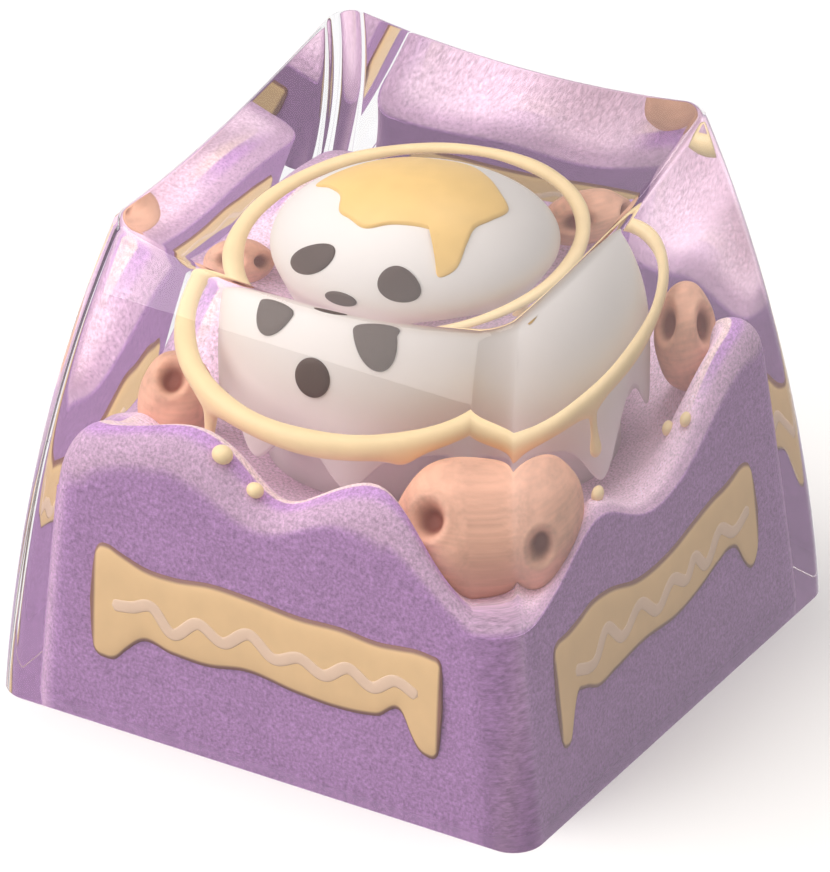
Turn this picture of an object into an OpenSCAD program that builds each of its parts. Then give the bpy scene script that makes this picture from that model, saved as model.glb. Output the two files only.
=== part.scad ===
// Clear cast keycap with a small scene sealed inside it. Millimetres, +Z up.
// The origin is the centre of the bottom edge. The front, which faces the typist, is -Y.

/* [Outer form] */
// Width and depth of the bottom edge
base_w = 18.1; // [17.9:0.05:18.2]
// Radius of the upright corners
corner_r = 0.97; // [0.7:0.05:1.3]
// How far each side leans in over the lean height
lean_side = 2.371; // [2:0.05:2.6]
// How far the front leans in over the lean height
lean_front = 2.656; // [2.3:0.05:2.9]
// How far the back leans in over the lean height
lean_back = 2.273; // [2:0.05:2.6]
// Height of the dish above the origin
top_z = 14.74; // [14.5:0.05:15.2]
// Rise of the top towards the back, in millimetres a millimetre
top_rise = 0.155; // [0.12:0.005:0.18]
// Crosswise radius of the dish
dish_r_across = 26.3; // [22:1:40]
// Lengthwise radius of the dish
dish_r_along = 33.3; // [28:1:50]
// Radius of the top edge
rim_r = 0.25; // [0.15:0.05:0.35]

/* [Base core] */
// Width and depth of the core at the bottom edge
core_w = 16.1; // [15.9:0.05:16.2]
// How far each wall of the core leans in for each millimetre of height
core_lean = 0.07; // [0.06:0.005:0.09]
// Height of the flat floor that the figure stands on
floor_z = 6.5; // [6.2:0.1:6.8]
// Height of the lowest stretch of the wavy edge
edge_z = 6.4; // [6.2:0.1:6.6]
// Width of the rounded shoulder inside the edge
shoulder_w = 1.1; // [0.9:0.1:1.3]
// Width of the slope from the shoulder down to the floor
slope_w = 2.6; // [2:0.1:2.7]
// Width of the square hollow underneath
hollow_w = 14; // [13.6:0.1:14.2]
// Depth of the hollow
hollow_h = 5.2; // [5:0.1:5.4]

/* [Stem] */
// Diameter of the post
post_d = 5.5; // [5.3:0.1:5.7]
// Height of the post's end above the bottom edge
post_z = 0.6; // [0.4:0.1:1]
// Length of both arms of the cross socket
cross_l = 4.1; // [4:0.05:4.2]
// Width of the arm that lies left to right
cross_w_across = 1.3; // [1.2:0.05:1.4]
// Width of the arm that lies front to back
cross_w_along = 1.17; // [1.1:0.01:1.3]
// Depth of the socket
cross_h = 3.9; // [3.5:0.1:4]

/* [Figure] */
// Half width of the head
head_rx = 4.8; // [4.6:0.1:4.9]
// Half depth of the head
head_ry = 4.15; // [4:0.05:4.3]
// Height of the head above its widest place
head_rz = 4.2; // [4:0.05:4.25]
// Height of the widest place
head_z = 10.1; // [10:0.05:10.2]
// Height of the hem between its tips
hem_z = 8.45; // [8.2:0.05:8.7]
// Thickness of the topping
topping_t = 0.18; // [0.1:0.02:0.2]

/* [Ring] */
// Radius of the ring
ring_r = 5.55; // [5.5:0.05:5.6]
// Thickness of the ring at the back
ring_d_back = 0.5; // [0.4:0.05:0.6]
// Thickness of the ring at the front
ring_d_front = 0.72; // [0.6:0.02:0.8]

/* [Hidden] */

// Gap between a piece and what it is laid on
film = 0.02;
// How far the clear body's pockets run into what carries each piece
root = 0.28;
// How far every other root point of a pocket is set off, so that no two of its faces lie in one plane
root_swing = 0.05;
function swing(i, low) = low < 0 ? (i % 2 == 0 ? root_swing : -root_swing) : 0;

// The outer form

lean_h = 15;
bow_side = 1.216;
bow_front = 3.124;
bow_back = 2.136;
dish_mid_y = 0.19;
half_w = base_w / 2;
function half_x(z) = half_w - lean_side * pow(max(z, 0) / lean_h, bow_side);
function front_y(z) = -half_w + lean_front * pow(max(z, 0) / lean_h, bow_front);
function back_y(z) = half_w - lean_back * pow(max(z, 0) / lean_h, bow_back);
corner_lean = 0.005;
function corner_at(z, inset) = corner_r - corner_lean * z - inset;
function dish(p) =
    let (v = p.y - dish_mid_y)
    top_z + top_rise * v + p.x * p.x / (2 * dish_r_across) + v * v / (2 * dish_r_along);

// Points round a rounded rectangle: arc_n steps in each corner and side_n along each side.
arc_n = 3;
side_n = 11;
corner_n = arc_n + side_n;
loop_n = 4 * corner_n;
function corner_mid(c, z, inset) =
    let (
        r = corner_at(z, inset),
        x = half_x(z) - inset - r,
        y_back = back_y(z) - inset - r,
        y_front = front_y(z) + inset + r
    )
    [c == 0 || c == 3 ? x : -x, c < 2 ? y_back : y_front];
function corner_pt(c, a, z, inset) =
    corner_mid(c % 4, z, inset) + corner_at(z, inset) * [cos(90 * c + a), sin(90 * c + a)];
function wall_pt(k, z, inset) =
    let (c = floor(k / corner_n), i = k - c * corner_n)
    i <= arc_n
        ? corner_pt(c, 90 * i / arc_n, z, inset)
        : let (s = (i - arc_n) / side_n)
          (1 - s) * corner_pt(c, 90, z, inset) + s * corner_pt(c + 1, 0, z, inset);

// Faces between rows of points that close round on themselves
function row_faces(n, rows) = [
    for (r = [0 : rows - 2], k = [0 : n - 1])
        let (a = r * n + k, b = r * n + (k + 1) % n)
        each [[a, b + n, b], [a, a + n, b + n]]
];
function fan_faces(n, row, tip, up) = [
    for (k = [0 : n - 1])
        let (a = row * n + k, b = row * n + (k + 1) % n)
        up ? [a, tip, b] : [b, tip, a]
];
// A closed solid of rows of points, which close round on themselves, with a middle point at each end
module lofted(rows, low_tip, high_tip) {
    n = len(rows[0]);
    m = len(rows);
    polyhedron(
        points = [for (row = rows) each row, low_tip, high_tip],
        faces = [
            each fan_faces(n, 0, n * m, false),
            each row_faces(n, m),
            each fan_faces(n, m - 1, n * m + 1, true)
        ],
        convexity = 6
    );
}

function rim_z(k, z = 15.5, turns = 4) =
    turns == 0 ? z : rim_z(k, dish(wall_pt(k, z, 0)), turns - 1);
wall_rows = 7;
top_rows = 4;
function outer_side_row(s) = [
    for (k = [0 : loop_n - 1])
        let (z = s * (rim_z(k) - rim_r), p = wall_pt(k, z, 0))
        [p.x, p.y, z]
];
function outer_rim_row(a) = [
    for (k = [0 : loop_n - 1])
        let (p = wall_pt(k, rim_z(k), rim_r * (1 - cos(a))))
        [p.x, p.y, dish(p) - rim_r * (1 - sin(a))]
];
function outer_top_row(s) = [
    for (k = [0 : loop_n - 1])
        let (p = (1 - s) * wall_pt(k, rim_z(k), rim_r))
        [p.x, p.y, dish(p)]
];
module outer_form() {
    lofted(
        [
            for (i = [0 : wall_rows]) outer_side_row(i / wall_rows),
            for (a = [30, 60, 90]) outer_rim_row(a),
            for (i = [1 : top_rows - 1]) outer_top_row(i / top_rows)
        ],
        [0, 0, 0],
        [0, 0, dish([0, 0])]
    );
}

// The base core. Its edge runs in waves: each has an angle round the core, from +X towards +Y,
// a height above edge_z, a width in degrees, and how far its crest stands above its edge.

waves = [
    [43, 2.0, 16, 0.5],
    [52, 0, 11, 0.7],
    [104, 0.7, 14, 0.4],
    [151, 0.9, 12, 0.7],
    [204, 0.7, 10, 0.3],
    [222, -0.3, 8, 1.5],
    [239.5, 1.3, 11, 1.1],
    [256, 0, 10, 1.6],
    [285.5, 1.5, 12, 0.6],
    [300, 0, 8, 1.7],
    [314, -0.4, 9, 0],
    [339, 1.35, 10, 0]
];
crest_rise = 0.1;
square_power = 16;
function turn_from(a, b) = abs((a - b + 540) % 360 - 180);
function wave_sum(angle, column) = [
    for (w = waves) w[column] * exp(-pow(turn_from(angle, w[0]) / w[2], 2) / 2)
] * [for (w = waves) 1];
core_corner_r = 1;
corner_loss = 0.15;
function core_half(z) = core_w / 2 - core_lean * z;
// Point k round a square with rounded corners
function square_pt(k, half, r) =
    let (
        c = floor(k / corner_n),
        i = k - c * corner_n,
        s = max(i - arc_n, 0) / side_n,
        a = 90 * c + 90 * min(i, arc_n) / arc_n,
        mid = half - r,
        mids = [[mid, mid], [-mid, mid], [-mid, -mid], [mid, -mid]]
    )
    (1 - s) * mids[c] + s * mids[(c + 1) % 4] + r * [cos(a), sin(a)];
function core_pt(k, z, inset) =
    square_pt(k, core_half(z) - inset, core_corner_r - corner_loss * inset);
// Distance of a point from the core's wall at a height, measured inwards
function from_wall(p, z) =
    let (reach = core_half(z), u = abs(p.x) / reach, v = abs(p.y) / reach)
    max(0, reach * (1 - pow(pow(u, square_power) + pow(v, square_power), 1 / square_power)));
// Height of the ground: a rounded shoulder up to the crest, then a slope down to the floor
function ground(p) =
    let (
        angle = atan2(p.y, p.x),
        edge = edge_z + wave_sum(angle, 1),
        rise = crest_rise + wave_sum(angle, 3),
        d = from_wall(p, edge),
        t = min((d - shoulder_w) / slope_w, 1)
    )
    d < shoulder_w
        ? edge + rise * sqrt(1 - pow(1 - d / shoulder_w, 2))
        : floor_z + (edge + rise - floor_z) * (1 + cos(180 * t)) / 2;
function core_edge_z(k, z = 7.3, turns = 4) =
    turns == 0 ? z : core_edge_z(k, ground(core_pt(k, z, 0)), turns - 1);
function core_row(z) = [
    for (k = [0 : loop_n - 1])
        let (p = core_pt(k, z, 0))
        [p.x, p.y, z]
];
function core_edge_row() = [
    for (k = [0 : loop_n - 1])
        let (z = core_edge_z(k), p = core_pt(k, z, 0))
        [p.x, p.y, z]
];
function core_ground_row(inset) = [
    for (k = [0 : loop_n - 1])
        let (p = core_pt(k, core_edge_z(k), inset))
        [p.x, p.y, ground(p)]
];
ground_insets = [0.2, 0.6, 1.1, 1.7, 2.4, 3.1, 4.2];
// The walls are flat up to this height, above every ribbon
core_flat_z = 6;
function core_rows() = [
    core_row(0),
    core_row(core_flat_z),
    core_edge_row(),
    for (inset = ground_insets) core_ground_row(inset)
];
module core_form() {
    lofted(core_rows(), [0, 0, 0], [0, 0, floor_z]);
}

// Underside: a square hollow with rounded corners, and a post with a cross socket

hollow_corner_r = 1;
function hollow_row(z) = [
    for (k = [0 : loop_n - 1])
        let (p = square_pt(k, hollow_w / 2, hollow_corner_r))
        [p.x, p.y, z]
];
module hollow_core() {
    lofted(
        concat([hollow_row(hollow_h), hollow_row(0)], core_rows()),
        [0, 0, hollow_h],
        [0, 0, floor_z]
    );
}
module cross_arm(across, along) {
    translate([-across / 2, -along / 2, post_z - 1])
        cube([across, along, cross_h + 1]);
}
module post() {
    difference() {
        translate([0, 0, post_z])
            cylinder(d = post_d, h = hollow_h - post_z + 0.3, $fn = 64);
        union() {
            cross_arm(cross_l, cross_w_across);
            cross_arm(cross_w_along, cross_l);
        }
    }
}
module purple_base() {
    color([0.67, 0.5, 0.71])
        union() {
            hollow_core();
            post();
        }
}

// A band that lies on one side of the core. Its place along the side is t, from left to right
// when that side is looked at from outside; low and high are the two edges' heights at each t.

side_turns = [0, 90, 180, 270];
function on_side(side, t, z, out) =
    let (r = core_half(z) + out, a = side_turns[side])
    [t * cos(a) + r * sin(a), t * sin(a) - r * cos(a), z];
band_crown = 0.03;
band_ripple = 0.01;
module side_band(side, places, low, high, inner, outer) {
    n = len(places);
    points = [
        for (i = [0 : n - 1])
            let (off = swing(i, inner), crown = band_crown + (i % 2 == 0 ? band_ripple : 0))
            each [
                on_side(side, places[i], (low[i] + high[i]) / 2, outer + crown),
                on_side(side, places[i], low[i], outer),
                on_side(side, places[i], low[i] + off, inner),
                on_side(side, places[i], high[i] + off, inner),
                on_side(side, places[i], high[i], outer)
            ]
    ];
    polyhedron(
        points = points,
        faces = [
            [0, 1, 2],
            [0, 2, 3],
            [0, 3, 4],
            for (i = [0 : n - 2], k = [0 : 4])
                let (a = 5 * i + k, b = 5 * i + (k + 1) % 5)
                each [[a, b + 5, b], [a, a + 5, b + 5]],
            let (e = 5 * (n - 1))
            each [[e, e + 2, e + 1], [e, e + 3, e + 2], [e, e + 4, e + 3]]
        ],
        convexity = 6
    );
}
function bump(t, mid, width) = exp(-pow((t - mid) / width, 2));

// Icing ribbons, one to a side: a level band with a ragged edge that drips near both ends
ribbon_t = 0.12;
ribbon_half_l = 5.95;
ribbon_steps = 24;
ribbon_mid = 4;
ribbon_half_h = 1.22;
// Each side's ribbon: turn of its ragged edge, then place, depth and width of its two drips
ribbon_shapes = [
    [0, [-5.2, 0.8, 0.75], [5.45, 0.75, 0.45]],
    [150, [-5.6, 0.95, 0.4], [4.95, 0.75, 0.5]],
    [60, [-5.3, 0.7, 0.5], [5.1, 0.9, 0.6]],
    [220, [-4.9, 0.85, 0.55], [5.5, 0.7, 0.45]]
];
function ribbon_places() = [
    for (i = [0 : ribbon_steps]) ribbon_half_l * (2 * i / ribbon_steps - 1)
];
// Both edges close to a blunt end over the last stretch
function ribbon_end(t) = sqrt(1 - pow(abs(t) / (ribbon_half_l + 0.02), 30));
function ribbon_high(side) = [
    for (t = ribbon_places())
        let (turn = ribbon_shapes[side][0], flare = pow(abs(t) / ribbon_half_l, 6))
        ribbon_mid + (ribbon_half_h + 0.12 * sin(95 * t + turn) + 0.25 * flare) * ribbon_end(t)
];
function ribbon_low(side) = [
    for (t = ribbon_places())
        let (
            shape = ribbon_shapes[side],
            drips = [for (drip = [shape[1], shape[2]]) drip[1] * bump(t, drip[0], drip[2])]
        )
        ribbon_mid
        - (ribbon_half_h + 0.1 * sin(120 * t + shape[0]) + drips[0] + drips[1]) * ribbon_end(t)
];
module ribbon_shape(side, inner) {
    side_band(side, ribbon_places(), ribbon_low(side), ribbon_high(side), inner, film + ribbon_t);
}
module ribbon(side) {
    color([0.93, 0.8, 0.55]) ribbon_shape(side, film);
}

// Squiggles: a white line that runs in waves along each ribbon
squiggle_half_l = 5.15;
squiggle_w = 0.24;
squiggle_t = 0.07;
squiggle_in = ribbon_t + band_crown + band_ripple + 2 * film;
squiggle_waves = 6;
squiggle_turn = 130;
squiggle_swing = 0.26;
squiggle_steps = 24;
function squiggle_places() = [
    for (i = [0 : squiggle_steps]) squiggle_half_l * (2 * i / squiggle_steps - 1)
];
function squiggle_mid(side, t) =
    ribbon_mid - 0.15 + squiggle_swing * sin(180 * squiggle_waves * t / squiggle_half_l - squiggle_turn);
module squiggle_shape(side, inner) {
    side_band(
        side,
        squiggle_places(),
        [for (t = squiggle_places()) squiggle_mid(side, t) - squiggle_w / 2],
        [for (t = squiggle_places()) squiggle_mid(side, t) + squiggle_w / 2],
        inner,
        squiggle_in + squiggle_t
    );
}
module squiggle(side) {
    color([0.96, 0.92, 0.86]) squiggle_shape(side, squiggle_in);
}

// The figure: a smooth round-headed ghost with a hem of drips.
// A bearing of 0 is the front and grows to the right, and a rise of 90 is the crown.

head_x = -0.2;
head_y = 0.7;
head_mid = [head_x, head_y, head_z];
function head_pt(bearing, rise, out) =
    head_mid + [
        (head_rx + out) * cos(rise) * sin(bearing),
        -(head_ry + out) * cos(rise) * cos(bearing),
        (head_rz + out) * sin(rise)
    ];
// Hem tips and one notch: bearing, length, width in degrees
hem_tips = [
    [-30, 1.1, 12],
    [13, 1.1, 11],
    [76, 1.45, 13],
    [108, -0.7, 14],
    [128, 0.8, 13],
    [184, 1.0, 14],
    [236, 0.8, 13],
    [288, 0.9, 12]
];
function hem_at(bearing) = hem_z - [
    for (tip = hem_tips) tip[1] * exp(-pow(turn_from(bearing, tip[0]) / tip[2], 2))
] * [for (tip = hem_tips) 1];
head_steps = 36;
head_rows = 8;
// Skirt rows from the widest place down: share of the head's radius and share of the way to the hem
skirt_rows = [[0.995, 0.35], [0.975, 0.7], [0.95, 1]];
// Underside rows: share of the radius and height, out to the foot
under_rows = [[0.86, 8.6], [0.7, 8.7]];
foot_share = 0.64;
// Every other row is turned by half a step
function bearing_at(i, turn) = 360 * (i + (turn % 2) / 2) / head_steps;
function skirt_row(j) = [
    for (i = [0 : head_steps - 1])
        let (b = bearing_at(i, j + 1), p = head_pt(b, 0, 0), share = skirt_rows[j][0])
        [
            head_x + share * (p.x - head_x),
            head_y + share * (p.y - head_y),
            head_z - skirt_rows[j][1] * (head_z - hem_at(b))
        ]
];
function level_row(share, z, turn) = [
    for (i = [0 : head_steps - 1])
        let (p = head_pt(bearing_at(i, turn), 0, 0), reach = share + swing(i, z - floor_z) / 2)
        [head_x + reach * (p.x - head_x), head_y + reach * (p.y - head_y), z]
];
function head_row(j) = [
    for (i = [0 : head_steps - 1]) head_pt(bearing_at(i, j), 90 * j / head_rows, 0)
];
module ghost_shape(foot_z) {
    lofted(
        [
            level_row(foot_share, foot_z, 0),
            for (j = [1, 0]) level_row(under_rows[j][0], under_rows[j][1], j),
            for (j = [2 : -1 : 0]) skirt_row(j),
            for (j = [0 : head_rows - 1]) head_row(j)
        ],
        [head_x, head_y, foot_z],
        head_pt(0, 90, 0)
    );
}
module ghost_body() {
    color([0.95, 0.94, 0.95]) ghost_shape(floor_z);
}

// The topping: a puddle over the crown with a wavy edge and one drip down the brow
topping_x = -0.6;
topping_y = 1.0;
topping_rx = 2.85;
topping_ry = 2.05;
topping_drip_angle = -46;
topping_drip_l = 1.45;
topping_drip_w = 12;
topping_steps = 32;
function on_crown(p, out) =
    let (u = (p.x - head_x) / head_rx, v = (p.y - head_y) / head_ry)
    head_mid + [p.x - head_x, p.y - head_y, (head_rz + out) * sqrt(max(1 - u * u - v * v, 0))];
function topping_edge(a) =
    let (
        wave = 1 + 0.07 * sin(5 * a + 20) + 0.05 * sin(9 * a),
        drip = topping_drip_l * exp(-pow(turn_from(a, topping_drip_angle) / topping_drip_w, 2))
    )
    [topping_rx * wave * cos(a) + drip * cos(a), topping_ry * wave * sin(a) + drip * sin(a)];
function topping_ring(share, out) = [
    for (i = [0 : topping_steps - 1])
        let (edge = (share + swing(i, out)) * topping_edge(360 * i / topping_steps))
        on_crown([topping_x, topping_y] + edge, out)
];
module topping_shape(low) {
    high = 2 * film + topping_t;
    lofted(
        [
            topping_ring(0.5, low),
            topping_ring(0.97, low),
            topping_ring(1, high - 0.6 * topping_t),
            topping_ring(0.96, high - 0.15 * topping_t),
            topping_ring(0.6, high),
            topping_ring(0.3, high)
        ],
        on_crown([topping_x, topping_y], low),
        on_crown([topping_x, topping_y], high)
    );
}
module ghost_topping() {
    color([0.94, 0.79, 0.5]) topping_shape(2 * film);
}

// Face marks: plain ovals on the head
mark_t = 0.08;
mark_steps = 16;
// Bearing and rise of the middle, half width and half height in degrees, and lean
eye_left_place = [-25, 27, 8, 15, -14];
eye_right_place = [19, 27, 8, 15, 14];
mouth_place = [-3, 5, 7, 7.5, 0];
function mark_ring(place, share, out) = [
    for (i = [0 : mark_steps - 1])
        let (
            a = 360 * i / mark_steps,
            reach = share + 2 * swing(i, out),
            across = reach * place[2] * cos(a),
            up = reach * place[3] * sin(a),
            rise = place[1] + up * cos(place[4]) + across * sin(place[4])
        )
        head_pt(place[0] + (across * cos(place[4]) - up * sin(place[4])) / cos(place[1]), rise, out)
];
module mark_shape(place, low) {
    high = 2 * film + mark_t;
    lofted(
        [
            for (share = [0.5, 1]) mark_ring(place, share, low),
            for (share = [0.97, 0.5]) mark_ring(place, share, high)
        ],
        head_pt(place[0], place[1], low),
        head_pt(place[0], place[1], high)
    );
}
module mark(place) {
    color([0.3, 0.23, 0.22]) mark_shape(place, 2 * film);
}

// The ring: a closed string of icing round the figure, which tilts up to the back.
// One of its drips runs down to the ground and carries it.

ring_x = -0.3;
ring_y = 0.36;
ring_z = 10.33;
ring_tilt_x = 0.02;
ring_tilt_y = 0.17;
ring_steps = 32;
ring_fn = 8;
// Drips: bearing, length
ring_drips = [[-34, 3.1], [75, 1.9], [36, 0.35]];
function ring_pt(bearing) =
    let (x = ring_x + ring_r * sin(bearing), y = ring_y - ring_r * cos(bearing))
    [x, y, ring_z + ring_tilt_x * x + ring_tilt_y * y];
function ring_d(bearing) =
    ring_d_back + (ring_d_front - ring_d_back) * (1 + cos(bearing)) / 2 + 0.04 * sin(5 * bearing);
module bead(place, d) {
    translate(place) sphere(d = d, $fn = ring_fn);
}
module ring_shape() {
    for (i = [0 : ring_steps - 1]) {
        b1 = 360 * i / ring_steps;
        b2 = 360 * (i + 1) / ring_steps;
        hull() {
            bead(ring_pt(b1), ring_d(b1));
            bead(ring_pt(b2), ring_d(b2));
        }
    }
    for (drip = ring_drips) {
        hull() {
            bead(ring_pt(drip[0]), 0.62);
            bead(ring_pt(drip[0]) - [0, 0, 0.55 * drip[1]], 0.42);
        }
        hull() {
            bead(ring_pt(drip[0]) - [0, 0, 0.5 * drip[1]], 0.42);
            bead(ring_pt(drip[0]) - [0, 0, drip[1]], 0.5);
        }
    }
}
module drizzle_ring() {
    color([0.95, 0.84, 0.6])
        difference() {
            ring_shape();
            core_form();
        }
}

// Lumps and drops: rounded blobs that stand on the ground. A pit is a direction from the middle,
// a depth as a share of the radius, and a width in degrees.

function unit(v) = v / norm(v);
function pit_sum(way, pits) = len(pits) == 0 ? 0 : [
    for (pit = pits) pit[1] * exp(-pow(acos(min(max(way * unit(pit[0]), -1), 1)) / pit[2], 4))
] * [for (pit = pits) 1];
function blob_pt(middle, radii, pits, bearing, rise) =
    let (
        way = [cos(rise) * sin(bearing), -cos(rise) * cos(bearing), sin(rise)],
        r = 1 - pit_sum(way, pits),
        p = middle + r * [radii.x * way.x, radii.y * way.y, radii.z * way.z]
    )
    p;
module blob(middle, radii, pits, steps, rows) {
    lofted(
        [
            for (j = [1 : rows - 1])
                let (rise = 180 * j / rows - 90, turn = (j % 2) / 2)
                [for (i = [0 : steps - 1]) blob_pt(middle, radii, pits, 360 * (i + turn) / steps, rise)]
        ],
        blob_pt(middle, radii, pits, 0, -90),
        blob_pt(middle, radii, pits, 0, 90)
    );
}
lump_color = [0.86, 0.66, 0.57];
lump_front_pits = [
    [[-0.24, -0.84, 0.48], 0.3, 17],
    [[0.83, -0.55, 0.08], 0.3, 16]
];
lump_back_pits = [
    [[0.03, -0.8, 0.58], 0.32, 22],
    [[0.91, 0.2, 0.37], 0.32, 22]
];
lump_left_pits = [
    [[0.1, -0.55, 0.82], 0.34, 22],
    [[0.85, 0.1, 0.5], 0.32, 20]
];
lump_front_mid = [5.06, -4.4, 7.8];
lump_back_mid = [3.75, 5.2, 9.05];
lump_left_mid = [-5.74, -1.28, 7.56];
module lump_front_shape() { blob(lump_front_mid, [2.05, 2.1, 1.95], lump_front_pits, 26, 16); }
module lump_back_shape() { blob(lump_back_mid, [1.6, 1.35, 1.65], lump_back_pits, 20, 13); }
module lump_left_shape() { blob(lump_left_mid, [1.15, 1.3, 1.28], lump_left_pits, 20, 12); }
module lump_front() {
    color(lump_color)
        difference() {
            lump_front_shape();
            core_form();
        }
}
module lump_back() {
    color(lump_color)
        difference() {
            lump_back_shape();
            core_form();
        }
}
module lump_left() {
    color(lump_color)
        difference() {
            lump_left_shape();
            core_form();
        }
}

// Drops of icing on the ground: place and radius
drops = [
    [-2, -6.85, 0.36],
    [-0.85, -6.87, 0.3],
    [6.45, 3, 0.28],
    [5.46, 2.65, 0.28],
    [6.3, -2, 0.32]
];
module drop_shape(i) {
    r = drops[i][2];
    blob([drops[i].x, drops[i].y, ground(drops[i]) + 0.45 * r], [r, r, 0.8 * r], [], 10, 6);
}
module drop(i) {
    color([0.95, 0.88, 0.68])
        difference() {
            drop_shape(i);
            core_form();
        }
}

// The clear body: the outer form with a pocket for everything inside it

module sealed_pieces() {
    core_form();
    for (side = [0 : 3]) {
        ribbon_shape(side, -root);
        squiggle_shape(side, -root);
    }
    ghost_shape(floor_z - root);
    topping_shape(-root);
    for (place = [eye_left_place, eye_right_place, mouth_place]) mark_shape(place, -root);
    ring_shape();
    lump_front_shape();
    lump_back_shape();
    lump_left_shape();
    for (i = [0 : len(drops) - 1]) drop_shape(i);
}
module clear_body() {
    color([0.9, 0.88, 0.92, 0.35])
        difference() {
            outer_form();
            sealed_pieces();
        }
}

clear_body();
purple_base();
ribbon(0);  // ribbon_front
ribbon(1);  // ribbon_right
ribbon(2);  // ribbon_back
ribbon(3);  // ribbon_left
squiggle(0);  // squiggle_front
squiggle(1);  // squiggle_right
squiggle(2);  // squiggle_back
squiggle(3);  // squiggle_left
ghost_body();
ghost_topping();
mark(eye_left_place);  // eye_left
mark(eye_right_place);  // eye_right
mark(mouth_place);  // mouth
drizzle_ring();
lump_front();
lump_back();
lump_left();
drop(0);  // drop_front_outer
drop(1);  // drop_front_inner
drop(2);  // drop_right_back
drop(3);  // drop_right_middle
drop(4);  // drop_right_front
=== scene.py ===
"""Clear cast keycap with a small scene sealed inside it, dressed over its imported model.

Sizes inside the functions are in millimetres and become metres when a mesh is made.
"""

import math

import bpy
import numpy as np
from bpy.props import FloatProperty, FloatVectorProperty, PointerProperty
from mathutils import Matrix, Vector


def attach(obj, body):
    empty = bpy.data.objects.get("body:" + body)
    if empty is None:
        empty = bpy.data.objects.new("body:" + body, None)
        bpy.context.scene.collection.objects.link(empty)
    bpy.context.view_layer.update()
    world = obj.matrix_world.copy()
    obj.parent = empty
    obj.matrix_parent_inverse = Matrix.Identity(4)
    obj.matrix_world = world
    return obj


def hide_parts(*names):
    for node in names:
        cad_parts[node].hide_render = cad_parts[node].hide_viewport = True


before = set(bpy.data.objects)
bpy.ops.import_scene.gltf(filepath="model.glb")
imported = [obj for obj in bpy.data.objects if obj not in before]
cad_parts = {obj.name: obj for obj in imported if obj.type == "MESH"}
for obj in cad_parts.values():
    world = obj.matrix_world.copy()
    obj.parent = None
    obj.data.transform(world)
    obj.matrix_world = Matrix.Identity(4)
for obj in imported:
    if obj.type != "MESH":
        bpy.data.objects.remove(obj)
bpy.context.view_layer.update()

bl_info = {
    "name": "Clear keycap",
    "version": (1, 0, 0),
    "blender": (4, 5, 0),
    "location": "View3D > Sidebar > Keycap",
    "description": "Builds a clear cast keycap with an iced purple base and a ghost sealed inside it",
    "category": "Add Mesh",
}

MM = 0.001


def length_property(name, description, size):
    """A length property. Its default is given in millimetres."""
    return FloatProperty(name=name, description=description, default=size * MM, unit="LENGTH")


def light_property(name, description, strength):
    """A property for the strength of a light."""
    return FloatProperty(name=name, description=description, default=strength, min=0.0)


def colour_property(name, description, colour):
    """A colour property."""
    return FloatVectorProperty(name=name, description=description, subtype="COLOR", default=colour, size=3)


class CapForm(bpy.types.PropertyGroup):
    base_w: length_property("Base width", "Width and depth of the bottom edge", 18.1)
    corner_r: length_property("Corner radius", "Radius of the upright corners", 0.97)
    rim_r: length_property("Rim radius", "Radius of the top edge", 0.25)
    top_z: length_property("Dish height", "Height of the dish's middle", 14.74)
    core_w: length_property("Core width", "Width of the base core at the bottom edge", 16.1)
    resin_ior: FloatProperty(
        name="Refractive index",
        description="How strongly the resin bends light",
        default=1.5, min=1.0, max=2.0,
    )


class CapColours(bpy.types.PropertyGroup):
    wall: colour_property("Wall purple", "Walls of the base core", (0.42, 0.233, 0.47))
    shoulder: colour_property("Shoulder lavender", "Shoulder above the wavy edge", (0.56, 0.37, 0.53))
    slope: colour_property("Slope lilac", "Slopes and floor inside the crest", (0.9, 0.67, 0.84))
    # The crest colour is a painted highlight along the crest's rounded top
    crest: colour_property("Crest pink", "Thin line along the crest", (0.9, 0.68, 0.7))
    icing: colour_property("Icing yellow", "Ribbons on the walls", (0.86, 0.585, 0.3))
    # Painted contact shadow: a thin brown line at each ribbon's edge stands in for the shadow where it meets
    # the wall
    outline: colour_property("Outline brown", "Thin outline of each ribbon", (0.28, 0.13, 0.1))
    cream: colour_property("Cream", "Line that runs along each ribbon", (0.86, 0.63, 0.46))
    ghost: colour_property("Ghost white", "Body of the figure", (0.83, 0.785, 0.75))
    topping: colour_property("Topping yellow", "Puddle on the figure's crown", (0.87, 0.58, 0.21))
    mark: colour_property("Mark brown", "Marks of the face", (0.1, 0.065, 0.055))
    ring: colour_property("Ring yellow", "Ring round the figure and the drops", (0.9, 0.69, 0.39))
    lump: colour_property("Lump biscuit", "Skin of the cratered lumps", (0.72, 0.4, 0.28))
    pit: colour_property("Pit brown", "Inside of the lumps' pits", (0.25, 0.065, 0.04))


class StageSizes(bpy.types.PropertyGroup):
    world_light: light_property("World light", "Strength of the light from all round", 0.39)
    key_light: light_property("Key light", "Radiance of the soft box at the front left", 2.65)
    fill_light: light_property("Fill light", "Radiance of the soft box overhead", 2.2)
    camera_away: length_property("Camera distance", "From the camera to its aim", 264.085)


# Meshes


def shell(points):
    """A closed surface from a grid of points, rows by places round, as vertices and faces.

    Each row closes round on itself. The first and last rows are closed by a fan of triangles to their mean
    points, which are the last two vertices.
    """
    m, n, _ = points.shape
    k = np.arange(n)
    r = np.arange(m - 1)[:, None] * n
    a, b = r + k, r + (k + 1) % n
    faces = np.stack([a, b, b + n, a + n], axis=-1).reshape(-1, 4).tolist()
    faces += np.stack([(k + 1) % n, k, np.full(n, m * n)], axis=1).tolist()
    last = (m - 1) * n
    faces += np.stack([last + k, last + (k + 1) % n, np.full(n, m * n + 1)], axis=1).tolist()
    return np.vstack([points.reshape(-1, 3), points[0].mean(axis=0), points[-1].mean(axis=0)]), faces


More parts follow.
